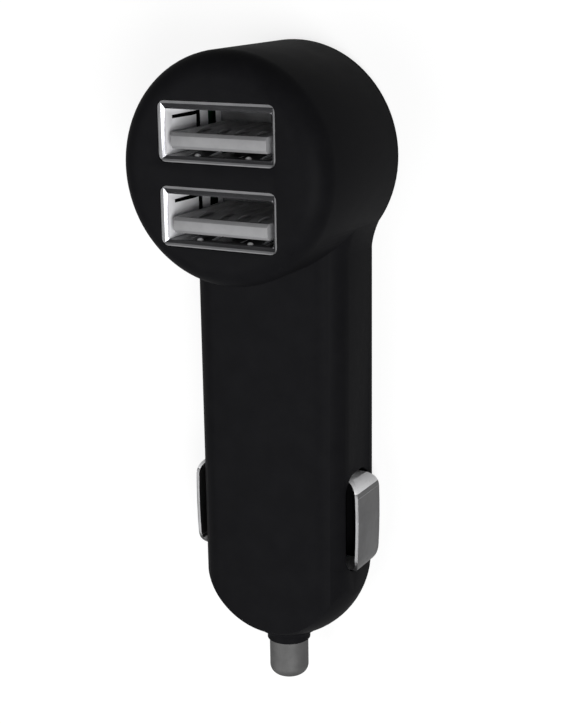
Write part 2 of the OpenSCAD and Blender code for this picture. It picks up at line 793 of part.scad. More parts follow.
module left_side_contact() {
    mirror([1, 0, 0]) right_side_contact();
}

// Capacitor can lying in a notch of the board, its two leads on the board
module capacitor(side) {
    z = board_top + lead_d / 2;
    foot = can_top + can_l;
    color([0.25, 0.25, 0.3]) {
        at_drop(foot, side * can_x, z) rotate([-90, 0, 0])
            rotate_extrude() edge_profile(can_d / 2, can_l, can_round);
        for (sx = [-1, 1])
            at_drop(foot + lead_l, side * can_x + sx * lead_pitch / 2, z) rotate([-90, 0, 0])
                cylinder(d = lead_d, h = lead_l + fuse, $fn = 24);
    }
}

module choke_core() {
    color([0.2, 0.2, 0.21]) at_drop(choke_drop, 0, board_top) {
        cylinder(d = choke_d, h = choke_flange);
        cylinder(d = choke_in, h = choke_h);
        translate([0, 0, choke_h - choke_flange]) cylinder(d = choke_d, h = choke_flange);
    }
}

module choke_winding() {
    low = choke_flange + winding_gap;
    color([0.72, 0.4, 0.2]) at_drop(choke_drop, 0, board_top + low) difference() {
        cylinder(d = choke_d - 2 * winding_in, h = choke_h - 2 * low);
        translate([0, 0, -1]) cylinder(d = choke_in + 2 * winding_gap, h = choke_h + 2);
    }
}

// Leg of the control chip, side on: from the body out, down and out again, its foot on the board
module chip_leg() {
    top = chip_h * 0.6;
    bend = chip_leg_out / 2 - chip_leg_t;
    rotate([90, 0, 0]) linear_extrude(chip_leg_w, center = true) {
        translate([-eps, top - chip_leg_t]) square([bend + chip_leg_t + eps, chip_leg_t]);
        translate([bend, 0]) square([chip_leg_t, top]);
        translate([bend, 0]) square([chip_leg_out - bend, chip_leg_t]);
    }
}

module control_chip() {
    color([0.12, 0.12, 0.13]) at_drop(chip_drop, 0, board_top) {
        translate([-chip_w / 2, -chip_l / 2, chip_stand]) cube([chip_w, chip_l, chip_h - chip_stand]);
        for (s = [0, 1], i = [-1.5:1.5]) mirror([s, 0, 0])
            translate([chip_w / 2, i * chip_pitch, 0]) chip_leg();
    }
}

// Flat block part on the board, size [width, length, height], with a metal cap over each end
module chip_block(x, drop, size, cap) {
    at_drop(drop, x, board_top) {
        translate([-size[0] / 2, -size[1] / 2, cap_proud])
            cube([size[0], size[1], size[2] - 2 * cap_proud]);
        for (s = [-1, 1]) translate([0, s * (size[1] - cap) / 2, size[2] / 2])
            cube([size[0] + 2 * cap_proud, cap, size[2]], center = true);
    }
}

module diode() {
    color([0.13, 0.13, 0.14]) chip_block(-end_part_x, diode_drop, [diode_w, diode_l, diode_h], big_cap);
}

module chip_fuse() {
    color([0.85, 0.85, 0.8]) chip_block(end_part_x, fuse_drop, [1.6, 3.2, 0.7], big_cap);
}

module chip_capacitor(side) {
    color([0.7, 0.55, 0.38])
        chip_block(side * small_cap_x, small_cap_drop, [1.25, 2, 0.9], small_cap);
}

module chip_resistor(drop) {
    color([0.15, 0.15, 0.17]) chip_block(0, drop, [0.8, 1.6, 0.5], small_cap);
}

housing();
rear_cover();
circuit_board();
socket_shell(port_y[0]);  // upper_socket_shell
socket_shell(port_y[1]);  // lower_socket_shell
socket_tongue(port_y[0]);  // upper_socket_tongue
socket_tongue(port_y[1]);  // lower_socket_tongue
socket_contact(port_y[0], strip_x[0]);  // upper_contact_1
socket_contact(port_y[0], strip_x[1]);  // upper_contact_2
socket_contact(port_y[0], strip_x[2]);  // upper_contact_3
socket_contact(port_y[0], strip_x[3]);  // upper_contact_4
socket_contact(port_y[1], strip_x[0]);  // lower_contact_1
socket_contact(port_y[1], strip_x[1]);  // lower_contact_2
socket_contact(port_y[1], strip_x[2]);  // lower_contact_3
socket_contact(port_y[1], strip_x[3]);  // lower_contact_4
tip_pin();
tip_spring();
tip_terminal();
right_side_contact();
left_side_contact();
capacitor(1);  // input_capacitor
capacitor(-1);  // output_capacitor
choke_core();
choke_winding();
control_chip();
diode();
chip_fuse();
chip_capacitor(-1);  // chip_capacitor_1
chip_capacitor(1);  // chip_capacitor_2
chip_resistor(resistor_drop);  // chip_resistor_1
chip_resistor(resistor_drop + resistor_pitch);  // chip_resistor_2
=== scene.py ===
import math

import bmesh
import bpy
from mathutils import Matrix, Vector


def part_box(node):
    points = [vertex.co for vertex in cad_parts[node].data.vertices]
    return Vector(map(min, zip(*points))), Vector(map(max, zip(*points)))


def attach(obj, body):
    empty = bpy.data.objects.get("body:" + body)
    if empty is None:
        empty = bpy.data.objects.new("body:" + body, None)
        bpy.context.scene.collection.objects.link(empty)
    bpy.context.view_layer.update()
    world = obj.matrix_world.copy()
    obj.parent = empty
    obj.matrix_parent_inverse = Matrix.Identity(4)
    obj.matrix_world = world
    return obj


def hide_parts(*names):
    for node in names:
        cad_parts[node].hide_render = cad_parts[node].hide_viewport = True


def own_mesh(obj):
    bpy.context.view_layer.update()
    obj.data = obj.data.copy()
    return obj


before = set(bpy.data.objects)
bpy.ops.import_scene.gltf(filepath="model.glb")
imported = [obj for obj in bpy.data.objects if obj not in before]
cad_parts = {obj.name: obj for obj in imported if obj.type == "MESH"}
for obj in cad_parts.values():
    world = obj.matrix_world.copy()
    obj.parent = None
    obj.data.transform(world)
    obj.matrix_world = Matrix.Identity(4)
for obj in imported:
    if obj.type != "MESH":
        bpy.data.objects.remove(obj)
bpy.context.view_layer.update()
MM = 0.001

# Places that repeat the construction, in millimetres. Distances run from the head's centre to the tip.
HEAD_Y = (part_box("housing")[1][1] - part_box("housing")[1][0]) / MM
HEAD_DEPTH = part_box("housing")[1][2] / MM
AXIS_Z = (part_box("tip_pin")[0][2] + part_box("tip_pin")[1][2]) / 2 / MM


# Camera
def lying(v):
    """Turns a direction of the standing plug into the lying frame."""
    return Vector((v.x, v.z, -v.y))


# Where the photograph was taken from: turns in degrees, places in millimetres
VIEW_YAW, VIEW_PITCH, VIEW_ROLL = 28.335, 15.518, -0.842
AIM_POINT = Vector((0, 8.4, -19.95))
SHIFT_RIGHT, SHIFT_UP, VIEW_DISTANCE = 3.21, -2.01, 169.34
FOCAL_PIXELS, FRAME_PIXELS, SENSOR = 1544.36, 579, 36


def aim_camera():
    """Puts the camera where the photograph was taken from."""
    yaw, pitch, roll = math.radians(VIEW_YAW), math.radians(VIEW_PITCH), math.radians(VIEW_ROLL)
    back = Vector((math.sin(yaw) * math.cos(pitch), -math.cos(yaw) * math.cos(pitch), math.sin(pitch)))
    right = Vector((math.cos(yaw), math.sin(yaw), 0))
    up = back.cross(right)
    place = AIM_POINT + SHIFT_RIGHT * right + SHIFT_UP * up + VIEW_DISTANCE * back
    cam_right = math.cos(roll) * right + math.sin(roll) * up
    cam_up = -math.sin(roll) * right + math.cos(roll) * up
    data = bpy.data.cameras.new("camera")
    data.sensor_fit = "HORIZONTAL"
    data.sensor_width = SENSOR
    data.lens = FOCAL_PIXELS / FRAME_PIXELS * SENSOR
    data.clip_start = 0.005
    camera = bpy.data.objects.new("camera", data)
    bpy.context.collection.objects.link(camera)
    turn = Matrix((lying(cam_right), lying(cam_up), lying(back))).transposed().to_4x4()
    spot = Vector((place.x, place.z + HEAD_Y, HEAD_DEPTH - place.y)) * MM
    camera.matrix_world = Matrix.Translation(spot) @ turn
    bpy.context.scene.camera = camera


# Shader effects
def node_group(name, inputs, outputs):
    """Empty shader group with named number inputs and the named outputs."""
    group = bpy.data.node_groups.new(name, "ShaderNodeTree")
    for label, value in inputs.items():
        socket = group.interface.new_socket(label, in_out="INPUT", socket_type="NodeSocketFloat")
        socket.default_value = value
    for label in outputs:
        group.interface.new_socket(label, in_out="OUTPUT", socket_type="NodeSocketFloat")
    return group, group.nodes.new("NodeGroupInput"), group.nodes.new("NodeGroupOutput")


def add(tree, kind, **settings):
    """New node of the kind, with the given properties."""
    node = tree.nodes.new(kind)
    for key, value in settings.items():
        setattr(node, key, value)
    return node


def math_node(tree, operation, a, b=None, c=None):
    """Output of a Math node on numbers or on other nodes' outputs."""
    node = add(tree, "ShaderNodeMath", operation=operation)
    for i, value in enumerate((a, b, c)):
        if value is None:
            continue
        if isinstance(value, (int, float)):
            node.inputs[i].default_value = value
        else:
            tree.links.new(value, node.inputs[i])
    return node.outputs[0]


def noise(tree, vector, scale, detail=2.0, roughness=0.5):
    """Noise between 0 and 1 at the vector."""
    node = add(tree, "ShaderNodeTexNoise")
    node.inputs["Detail"].default_value = detail
    node.inputs["Roughness"].default_value = roughness
    tree.links.new(vector, node.inputs["Vector"])
    if isinstance(scale, (int, float)):
        node.inputs["Scale"].default_value = scale
    else:
        tree.links.new(scale, node.inputs["Scale"])
    return node.outputs["Fac"]


def make_grain():
    """Height of a fine surface grain with a slow unevenness under it."""
    group, gin, gout = node_group("surface_grain", {"Scale": 8000.0, "Waves": 0.3}, ["Height", "Mottle"])
    coords = add(group, "ShaderNodeTexCoord").outputs["Object"]
    fine = noise(group, coords, gin.outputs["Scale"], 3.0)
    slow = noise(group, coords, 260.0, 2.0)
    height = math_node(group, "MULTIPLY_ADD", slow, gin.outputs["Waves"], fine)
    group.links.new(height, gout.inputs["Height"])
    group.links.new(noise(group, coords, 420.0, 4.0, 0.6), gout.inputs["Mottle"])
    return group


def make_wear():
    """Mask that is 1 on sharp outer edges, broken up by a noise."""
    group, gin, gout = node_group("rubbed_edge", {"Reach": 0.0002, "Amount": 1.0}, ["Mask"])
    bevel = add(group, "ShaderNodeBevel", samples=4)
    group.links.new(gin.outputs["Reach"], bevel.inputs["Radius"])
    geometry = add(group, "ShaderNodeNewGeometry")
    dot = add(group, "ShaderNodeVectorMath", operation="DOT_PRODUCT")
    group.links.new(bevel.outputs["Normal"], dot.inputs[0])
    group.links.new(geometry.outputs["Normal"], dot.inputs[1])
    edge = math_node(group, "SUBTRACT", 1.0, dot.outputs["Value"])
    edge = math_node(group, "MULTIPLY", edge, 5.0)
    coords = add(group, "ShaderNodeTexCoord").outputs["Object"]
    broken = math_node(group, "MULTIPLY", edge, noise(group, coords, 1500.0, 3.0))
    ranged = add(group, "ShaderNodeClamp")
    group.links.new(math_node(group, "MULTIPLY", broken, gin.outputs["Amount"]), ranged.inputs[0])
    group.links.new(ranged.outputs[0], gout.inputs["Mask"])
    return group


def make_brushing():
    """Fine parallel lines, drawn out along one axis, for sheet metal and turned parts."""
    group, gin, gout = node_group("drawn_lines", {"Across": 12000.0, "Along": 700.0}, ["Lines"])
    coords = add(group, "ShaderNodeTexCoord").outputs["Object"]
    split = add(group, "ShaderNodeSeparateXYZ")
    join = add(group, "ShaderNodeCombineXYZ")
    group.links.new(coords, split.inputs[0])
    for axis, size in (("X", "Across"), ("Y", "Along"), ("Z", "Across")):
        drawn = math_node(group, "MULTIPLY", split.outputs[axis], gin.outputs[size])
        group.links.new(drawn, join.inputs[axis])
    group.links.new(noise(group, join.outputs[0], 1.0, 2.0), gout.inputs["Lines"])
    return group


GRAIN = make_grain()
WEAR = make_wear()
BRUSHING = make_brushing()


def place_group(tree, group, **values):
    """One of the shared effects in a material, with its own values."""
    node = add(tree, "ShaderNodeGroup", node_tree=group)
    for key, value in values.items():
        node.inputs[key].default_value = value
    return node


def ramp(tree, fac, low, high):
    """Colour that runs from low to high as fac runs from 0.3 to 0.7."""
    node = add(tree, "ShaderNodeValToRGB")
    node.color_ramp.elements[0].position = 0.3
    node.color_ramp.elements[1].position = 0.7
    node.color_ramp.elements[0].color = (*low, 1)
    node.color_ramp.elements[1].color = (*high, 1)
    tree.links.new(fac, node.inputs[0])
    return node.outputs["Color"]


def blend_colour(tree, fac, a, b):
    """Colour a where fac is 0, colour b where it is 1."""
    node = add(tree, "ShaderNodeMix", data_type="RGBA")
    tree.links.new(fac, node.inputs["Factor"])
    for socket, value in ((node.inputs[6], a), (node.inputs[7], b)):
        if isinstance(value, tuple):
            socket.default_value = (*value, 1)
        else:
            tree.links.new(value, socket)
    return node.outputs[2]


def spread(tree, fac, low, high):
    """Number that runs from low to high as fac runs from 0 to 1."""
    node = add(tree, "ShaderNodeMapRange")
    node.inputs["To Min"].default_value = low
    node.inputs["To Max"].default_value = high
    tree.links.new(fac, node.inputs["Value"])
    return node.outputs[0]


def start_material(name, metallic=0.0, specular=0.5):
    """New material, its nodes and its main shader."""
    material = bpy.data.materials.new(name)
    material.use_nodes = True
    tree = material.node_tree
    shader = tree.nodes["Principled BSDF"]
    shader.inputs["Metallic"].default_value = metallic
    shader.inputs["Specular IOR Level"].default_value = specular
    return material, tree, shader


def bump(tree, shader, height, distance):
    """Raises the surface by the height, up to the distance in metres."""
    node = add(tree, "ShaderNodeBump")
    node.inputs["Distance"].default_value = distance
    node.inputs["Strength"].default_value = 1
    tree.links.new(height, node.inputs["Height"])
    tree.links.new(node.outputs["Normal"], shader.inputs["Normal"])


# Unevenness of the gloss, and depths of the grain and of the drawn lines in metres
ROUGH_SWING = 0.05
LINE_SWING = 0.08
GRAIN_DEPTH = 0.000004
LINE_DEPTH = 0.0000015


def plastic(name, dark, light, worn, rough, specular=0.4, wear=0.6):
    """Moulded plastic: mottled colour, grain and paler rubbed edges."""
    material, tree, shader = start_material(name, specular=specular)
    grain = place_group(tree, GRAIN, Scale=7000.0, Waves=0.4)
    edge = place_group(tree, WEAR, Reach=0.00015, Amount=wear)
    base = ramp(tree, grain.outputs["Mottle"], dark, light)
    tree.links.new(blend_colour(tree, edge.outputs["Mask"], base, worn), shader.inputs["Base Color"])
    level = spread(tree, grain.outputs["Mottle"], rough - ROUGH_SWING, rough + ROUGH_SWING)
    tree.links.new(level, shader.inputs["Roughness"])
    bump(tree, shader, grain.outputs["Height"], GRAIN_DEPTH)
    return material


def metal(name, dark, light, worn, rough, wear=0.8, metallic=1.0):
    """Plated or bare metal with drawn lines, slow tarnish and bright rubbed edges."""
    material, tree, shader = start_material(name, metallic=metallic)
    lines = place_group(tree, BRUSHING, Across=12000.0, Along=900.0)
    grain = place_group(tree, GRAIN, Scale=5000.0, Waves=0.5)
    edge = place_group(tree, WEAR, Reach=0.0001, Amount=wear)
    base = ramp(tree, grain.outputs["Mottle"], dark, light)
    tree.links.new(blend_colour(tree, edge.outputs["Mask"], base, worn), shader.inputs["Base Color"])
    level = spread(tree, lines.outputs["Lines"], rough - LINE_SWING, rough + LINE_SWING)
    tree.links.new(level, shader.inputs["Roughness"])
    bump(tree, shader, lines.outputs["Lines"], LINE_DEPTH)
    return material


BLACK = plastic("satin_black_plastic", (0.0055, 0.0055, 0.0063), (0.007, 0.007, 0.0079),
                (0.014, 0.014, 0.0155), 0.5, specular=0.02)
TONGUE = plastic("port_insulator", (0.18, 0.18, 0.185), (0.23, 0.23, 0.235), (0.33, 0.33, 0.33), 0.4)
# Steel of the port shells in three copies: this pale one paints light on the side walls, and the two darker
# ones below paint shade on the floor, roof and rim
LIT_SHELL_STEEL = metal("port_shell_painted_light", (0.88, 0.88, 0.9), (0.93, 0.93, 0.95),
               (0.95, 0.95, 0.96), 0.36, metallic=0.12, wear=0.3)
# Darker copy of the shell steel, partly a real polish: painted shade on the floor and roof of a port
POLISHED_SHADE_STEEL = metal("port_shell_polished_painted_shade", (0.16, 0.16, 0.17), (0.2, 0.2, 0.21),
                 (0.35, 0.35, 0.36), 0.22, wear=0.3)
# Darker, rougher copy of the shell steel: painted shade on the rim of a port
RIM_SHADE_STEEL = metal("port_shell_rim_painted_shade", (0.13, 0.13, 0.135), (0.17, 0.17, 0.175),
            (0.2, 0.2, 0.205), 0.5, metallic=0.1, wear=0.3)
PLATE = metal("side_contact_nickel", (0.17, 0.17, 0.173), (0.22, 0.22, 0.223), (0.5, 0.5, 0.52), 0.38)
# Pale copy of the plate's nickel: painted highlight on the side contacts' upper bend and painted glints on
# the port pips
HIGHLIGHT_METAL = metal("side_contact_bright_bend", (0.8, 0.8, 0.81), (0.88, 0.88, 0.89),
             (0.92, 0.92, 0.93), 0.3, metallic=0.3)
PIN = metal("tip_pin_nickel", (0.09, 0.09, 0.09), (0.12, 0.119, 0.119), (0.2, 0.2, 0.2), 0.62, metallic=0.6)
GOLD = metal("contact_plating", (0.24, 0.24, 0.245), (0.3, 0.3, 0.305), (0.4, 0.4, 0.4), 0.38, metallic=0.4)
SOLDER = metal("solder", (0.55, 0.55, 0.57), (0.65, 0.65, 0.67), (0.75, 0.75, 0.77), 0.25)
WIRE = metal("spring_wire", (0.5, 0.5, 0.52), (0.6, 0.6, 0.62), (0.7, 0.7, 0.72), 0.25)
BRASS = metal("terminal_brass", (0.62, 0.52, 0.3), (0.72, 0.62, 0.38), (0.85, 0.76, 0.5), 0.3)
BOARD = plastic("board_mask", (0.01, 0.07, 0.03), (0.02, 0.1, 0.045), (0.3, 0.35, 0.25), 0.3, wear=0.3)
SLEEVE = plastic("capacitor_sleeve", (0.03, 0.03, 0.045), (0.05, 0.05, 0.07), (0.12, 0.12, 0.14), 0.35)
CAN = metal("capacitor_can", (0.55, 0.55, 0.57), (0.68, 0.68, 0.7), (0.8, 0.8, 0.82), 0.28)
FERRITE = plastic("ferrite", (0.02, 0.02, 0.022), (0.035, 0.035, 0.038), (0.06, 0.06, 0.06), 0.6)
COPPER = metal("lacquered_copper", (0.5, 0.2, 0.08), (0.65, 0.28, 0.12), (0.8, 0.45, 0.25), 0.25)
CHIP = plastic("moulding_compound", (0.012, 0.012, 0.013), (0.02, 0.02, 0.021), (0.05, 0.05, 0.05), 0.55)
CERAMIC = plastic("chip_ceramic", (0.32, 0.2, 0.11), (0.42, 0.28, 0.16), (0.5, 0.4, 0.3), 0.45)

FINISHES = {
    "housing": BLACK, "rear_cover": BLACK, "circuit_board": BOARD,
    "upper_socket_shell": LIT_SHELL_STEEL, "lower_socket_shell": LIT_SHELL_STEEL,
    "upper_socket_tongue": TONGUE, "lower_socket_tongue": TONGUE,
    "tip_pin": PIN, "tip_spring": WIRE, "tip_terminal": BRASS,
    "right_side_contact": PLATE, "left_side_contact": PLATE,
    "input_capacitor": CAN, "output_capacitor": CAN,
    "choke_core": FERRITE, "choke_winding": COPPER,
    "control_chip": CHIP, "diode": CHIP, "chip_fuse": CERAMIC,
    "chip_capacitor_1": CERAMIC, "chip_capacitor_2": CERAMIC,
    "chip_resistor_1": CHIP, "chip_resistor_2": CHIP,
}
for port in ("upper", "lower"):
    for count in range(1, 5):
        FINISHES["%s_contact_%d" % (port, count)] = GOLD


# Pieces
def at_drop(x, drop, z):
    """Point in metres from millimetres: across, down the stem from the head's centre, and above the back."""
    return Vector((x, HEAD_Y - drop, z)) * MM


def finish_cad_nodes():
    """Gives every solid its finish."""
    for name, material in FINISHES.items():
        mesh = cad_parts[name].data
        mesh.materials.clear()
        mesh.materials.append(material)


def settle(piece, nodes, body="case"):
    """Lets a finished piece stand for its CAD nodes and ride with their body."""
    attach(piece, body)
    if nodes:
        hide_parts(*nodes)
    return piece


def baked(source, name):
    """Plain mesh object with the source's modifiers worked in; the source is removed."""
    depsgraph = bpy.context.evaluated_depsgraph_get()
    mesh = bpy.data.meshes.new_from_object(source.evaluated_get(depsgraph), depsgraph=depsgraph)
    bpy.data.objects.remove(source)
    piece = bpy.data.objects.new(name, mesh)
    mesh.name = name
    bpy.context.collection.objects.link(piece)
    return piece


def boxes_mesh(name, boxes):
    """Mesh of separate blocks, each given by its lowest and highest corner in millimetres."""
    form = bmesh.new()
    for low, high in boxes:
        size = [b - a for a, b in zip(low, high)]
        middle = [(a + b) / 2 for a, b in zip(low, high)]
        turn = Matrix.Translation(Vector(middle) * MM) @ Matrix.Diagonal((*(v * MM for v in size), 1))
        bmesh.ops.create_cube(form, size=1, matrix=turn)
    mesh = bpy.data.meshes.new(name)
    form.to_mesh(mesh)
    form.free()
    return mesh


# Reach for merging points, in metres
MERGE_REACH = 1e-7
# Flatter joins are taken out, sharper edges are eased
FLAT_LIMIT = math.radians(0.4)
SHARP_LIMIT = math.radians(38)


def eased(node, name, ease, cutter=None):
    """Copy of a solid, its edges eased by millimetres, its curves smooth and the cutter's blocks cut out."""
    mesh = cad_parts[node].data.copy()
    form = bmesh.new()
    form.from_mesh(mesh)
    bmesh.ops.remove_doubles(form, verts=form.verts, dist=MERGE_REACH)
    bmesh.ops.dissolve_limit(form, angle_limit=FLAT_LIMIT, verts=form.verts, edges=form.edges)
    for face in form.faces:
        face.smooth = True
    form.to_mesh(mesh)
    form.free()
    mesh.materials.clear()
    mesh.materials.append(FINISHES[node])
    source = bpy.data.objects.new(name + "_source", mesh)
    bpy.context.collection.objects.link(source)
    bevel = source.modifiers.new("eased edges", "BEVEL")
    bevel.width = ease * MM
    bevel.segments = 2
    bevel.limit_method = "ANGLE"
    bevel.angle_limit = SHARP_LIMIT
    bevel.use_clamp_overlap = True
    blocks = None
    if cutter:
        blocks = bpy.data.objects.new(name + "_slots", cutter)
        bpy.context.collection.objects.link(blocks)
        cut = source.modifiers.new("slots", "BOOLEAN")
        cut.operation = "DIFFERENCE"
        cut.solver = "EXACT"
        cut.object = blocks
    piece = baked(source, name)
    if blocks:
        bpy.data.objects.remove(blocks)
    piece.data.set_sharp_from_angle(angle=SHARP_LIMIT)
    return piece


def eased_copy(node, name, ease, body="case"):
    """Eased copy that stands for its solid."""
    return settle(eased(node, name, ease), [node], body)


def add_piece(name, form, materials):
    """Object from a finished form, with outward faces and its materials."""
    bmesh.ops.recalc_face_normals(form, faces=form.faces)
    mesh = bpy.data.meshes.new(name)
    form.to_mesh(mesh)
    form.free()
    for material in materials:
        mesh.materials.append(material)
    piece = bpy.data.objects.new(name, mesh)
    bpy.context.collection.objects.link(piece)
    return piece


def lathe(form, outline, centre, material, steps=48):
    """Closed body turned from (radius, distance) points about a line along Y; distances run to the head."""
    rings = []
    for radius, along in outline:
        if radius == 0:
            rings.append([form.verts.new(Vector((centre[0], centre[1] + along, centre[2])) * MM)])
            continue
        ring = []
        for i in range(steps):
            angle = math.tau * i / steps
            across, up = radius * math.cos(angle), radius * math.sin(angle)
            ring.append(form.verts.new(Vector((centre[0] + across, centre[1] + along, centre[2] + up)) * MM))
        rings.append(ring)
    for number, (a, b) in enumerate(zip(rings, rings[1:])):
        for i in range(steps):
            j = (i + 1) % steps
            corners = [a[i % len(a)], a[j % len(a)], b[j % len(b)], b[i % len(b)]]
            face = form.faces.new(list(dict.fromkeys(corners)))
            face.smooth = True
            face.material_index = material(number)


# Depths in a port, in millimetres below its rim; RIM_BAND is also how deep the rim's painted shade reaches
RIM_BAND = 0.16
THROAT = (0.35, 0.6)
FINGER_SLOT = (6.3, 7.35)
REAR_SLOT = (9.0, 10.6)
PIP_DEPTH = 1.4
# Distances from the middle of a port in millimetres, sideways and then towards its roof or floor
INNER_X = 6.6
SLOT_X = (5.8, 6.7)
PIP_X = 3
ROOF = (2.2, 2.7)
SLOT_TOP = 1.4
FINGER_SLOT_BELOW = 1.4
REAR_SLOT_BELOW = 0.3
# How far the roof's edge is drawn down, and how high the floor lies in the shell's box, in millimetres
BROW = 0.28
FLOOR_RISE = 0.6
# Places of the two finishes with painted shade, one for the floor and roof and one for the rim, that a
# port's shell gets besides its first one with painted light
SHADED_FLOOR_SLOT, SHADED_RIM_SLOT = 1, 2
# A face whose normal leans further sideways than this belongs to a side wall and keeps the painted light;
# other inner faces get painted shade
SIDEWARD = 0.7
# Outline of a pip, as (radius, height over the floor)
PIP = [(0, -0.1), (0.34, -0.1), (0.34, 0), (0.28, 0.1), (0.18, 0.17), (0.08, 0.2), (0, 0.21)]


def paint_shell_light_and_shade(piece, middle):
    """Painted shade on the rim, painted light on the side walls, a polished floor and roof with painted
    shade, and a brow drawn down over the mouth.
    """
    mesh = piece.data
    top = max(v.co.z for v in mesh.vertices)
    form = bmesh.new()
    form.from_mesh(mesh)
    parts = list(form.verts) + list(form.edges) + list(form.faces)
    bmesh.ops.bisect_plane(form, geom=parts, plane_co=(0, 0, top - RIM_BAND * MM), plane_no=(0, 0, 1))
    for face in form.faces:
        low = min(v.co.z for v in face.verts)
        # Faces in the rim band get the copy with painted shade
        if low > top - (RIM_BAND + 0.01) * MM:
            face.material_index = SHADED_RIM_SLOT
            continue
        spot = face.calc_center_median() / MM
        # Inner floor and roof get the polished copy with painted shade; side walls keep the copy with
        # painted light
        inner = abs(spot.y - middle) < ROOF[1] and abs(spot.x) < INNER_X
        if inner and abs(face.normal.x) < SIDEWARD:
            face.material_index = SHADED_FLOOR_SLOT
    for v in form.verts:
        depth = (top - v.co.z) / MM
        if THROAT[0] < depth < THROAT[1] and ROOF[0] < v.co.y / MM - middle < ROOF[1]:
            v.co.y -= BROW * MM
    form.to_mesh(mesh)
    form.free()
    mesh.materials.append(POLISHED_SHADE_STEEL)
    mesh.materials.append(RIM_SHADE_STEEL)


def make_port(port):
    """Shell with its slots and its painted light and shade, the pips on its floor with painted glints, and
    the tongue.
    """
    node = port + "_socket_shell"
    low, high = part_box(node)
    rim = high[2] / MM
    middle = (low[1] + high[1]) / 2 / MM
    slots = []
    for side in (-1, 1):
        across = sorted(side * x for x in SLOT_X)
        for (start, end), below in ((FINGER_SLOT, FINGER_SLOT_BELOW), (REAR_SLOT, REAR_SLOT_BELOW)):
            slots.append(((across[0], middle - below, rim - end),
                          (across[1], middle + SLOT_TOP, rim - start)))
    shell = eased(node, port + "_port_shell", 0.05, cutter=boxes_mesh(port + "_slots", slots))
    paint_shell_light_and_shade(shell, middle)
    settle(shell, [node])
    form = bmesh.new()
    # Domed pips on the floor, in the pale copy that paints a glint on them
    for across in (-PIP_X, PIP_X):
        lathe(form, PIP, (across, low[1] / MM + FLOOR_RISE, rim - PIP_DEPTH), lambda n: 0, steps=20)
    settle(add_piece(port + "_port_pips", form, [HIGHLIGHT_METAL]), [])
    eased_copy(port + "_socket_tongue", port + "_port_tongue", 0.06)


# Pieces grown with geometry nodes

# Kinds of input, by the kind of its first value
SOCKET_KINDS = {int: "NodeSocketInt", float: "NodeSocketFloat", Vector: "NodeSocketVector"}


def start_tree(name, **inputs):
    """Geometry tree with named inputs; returns the tree, its input node and its output node."""
    tree = bpy.data.node_groups.new(name, "GeometryNodeTree")
    tree.interface.new_socket("Geometry", in_out="INPUT", socket_type="NodeSocketGeometry")
    for label, value in inputs.items():
        socket = tree.interface.new_socket(label, in_out="INPUT", socket_type=SOCKET_KINDS[type(value)])
        socket.default_value = value
    tree.interface.new_socket("Finish", in_out="INPUT", socket_type="NodeSocketMaterial")
    tree.interface.new_socket("Geometry", in_out="OUTPUT", socket_type="NodeSocketGeometry")
    return tree, tree.nodes.new("NodeGroupInput"), tree.nodes.new("NodeGroupOutput")


def close_tree(tree, gin, gout, geometry):
    """Smooth shading, real geometry and the finish, at the end of a tree."""
    smooth = add(tree, "GeometryNodeSetShadeSmooth")
    real = add(tree, "GeometryNodeRealizeInstances")
    finish = add(tree, "GeometryNodeSetMaterial")
    tree.links.new(geometry, smooth.inputs["Geometry"])
    tree.links.new(smooth.outputs[0], real.inputs["Geometry"])
    tree.links.new(real.outputs[0], finish.inputs["Geometry"])
    tree.links.new(gin.outputs["Finish"], finish.inputs["Material"])
    tree.links.new(finish.outputs[0], gout.inputs["Geometry"])


def grow(tree, name, points, finish, **values):
    """Plain mesh object that the tree makes from the points and values."""
    mesh = bpy.data.meshes.new(name + "_points")
    mesh.from_pydata([tuple(p) for p in points], [], [])
    host = bpy.data.objects.new(name + "_host", mesh)
    bpy.context.collection.objects.link(host)
    modifier = host.modifiers.new(name, "NODES")
    modifier.node_group = tree
    values["Finish"] = finish
    for item in tree.interface.items_tree:
        if item.in_out == "INPUT" and item.name in values:
            modifier[item.identifier] = values[item.name]
    host.update_tag()
    return baked(host, name)


